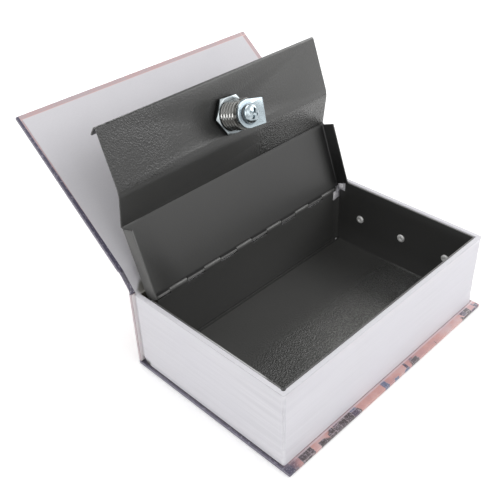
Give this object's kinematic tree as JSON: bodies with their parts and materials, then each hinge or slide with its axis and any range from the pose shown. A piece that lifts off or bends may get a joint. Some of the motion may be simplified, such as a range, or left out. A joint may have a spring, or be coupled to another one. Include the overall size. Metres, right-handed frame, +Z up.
{
  "type": "book safe",
  "caption": "Book-shaped diversion safe, opened: hardback cover on a white page block that holds a steel tray with a stepped, hinged lid and a cam lock.",
  "frame": {"origin": "middle of the closed book's underside, on the surface that the back cover lies on", "axes": "+X along the spine from head to tail, +Y towards the spine, +Z up through the page block"},
  "size_m": [0.18, 0.207, 0.1437],
  "materials": {
    "greyboard": "plain grey board, seen only at cut edges",
    "printed_paper": "laminated print in navy, plum and salmon",
    "spine_paper": "laminated greyish pink paper",
    "white_paper": "uncoated white endpaper",
    "page_plastic": "satin off-white moulding with fine page lines",
    "hammered_coat": "charcoal hammered powder coat",
    "bright_zinc": "bright zinc plate",
    "nickel": "nickel plated die casting",
    "steel": "plain bright steel",
    "rivet_alloy": "pale satin alloy",
    "brass": "stamped brass"
  },
  "bodies": {
    "case": {"back_cover_board": "greyboard", "back_cover_wrap": "printed_paper", "spine_board": "greyboard", "spine_wrap": "spine_paper", "page_block": "page_plastic", "tray": "hammered_coat", "strike": "hammered_coat", "hinge_pin": "steel", "rivet_head_1": "rivet_alloy", "rivet_head_2": "rivet_alloy", "rivet_head_3": "rivet_alloy", "rivet_tail_1": "rivet_alloy", "rivet_tail_2": "rivet_alloy", "rivet_tail_3": "rivet_alloy"},
    "cover_joint": {"front_joint": "spine_paper"},
    "front_cover": {"front_cover_board": "greyboard", "front_cover_wrap": "printed_paper", "front_endpaper": "white_paper"},
    "lid": {"lid": "hammered_coat", "lock_barrel": "nickel", "lock_nut": "bright_zinc"},
    "lock_plug": {"lock_plug": "nickel", "stop_washer": "steel", "lock_cam": "bright_zinc", "spring_washer": "steel", "cam_screw": "bright_zinc", "wafer_1": "brass", "wafer_2": "brass", "wafer_3": "brass", "wafer_4": "brass", "wafer_spring_1": "steel", "wafer_spring_2": "steel", "wafer_spring_3": "steel", "wafer_spring_4": "steel"}
  },
  "joints": [
    {"name": "cover_fold", "type": "hinge", "parent": "case", "child": "cover_joint", "pos_m": [0, 0.05785, 0.0538], "axis": [1, 0, 0], "range_deg": [0, 127.5]},
    {"name": "board_fold", "type": "hinge", "parent": "cover_joint", "child": "front_cover", "pos_m": [0, 0.06558, 0.06388], "axis": [1, 0, 0], "range_deg": [-40, 12.5]},
    {"name": "lid_hinge", "type": "hinge", "parent": "case", "child": "lid", "pos_m": [0, 0.05275, 0.0464], "axis": [1, 0, 0], "range_deg": [0, 110.3]},
    {"name": "lock_turn", "type": "hinge", "parent": "lid", "child": "lock_plug", "pos_m": [0.0009, 0.07012, 0.1242], "axis": [0, 0.9379, -0.3469], "range_deg": [-90, 0]}
  ],
  "couplings": [
    {"joint": "lid_hinge", "follows": "cover_fold", "ratio": 0.8651}
  ]
}
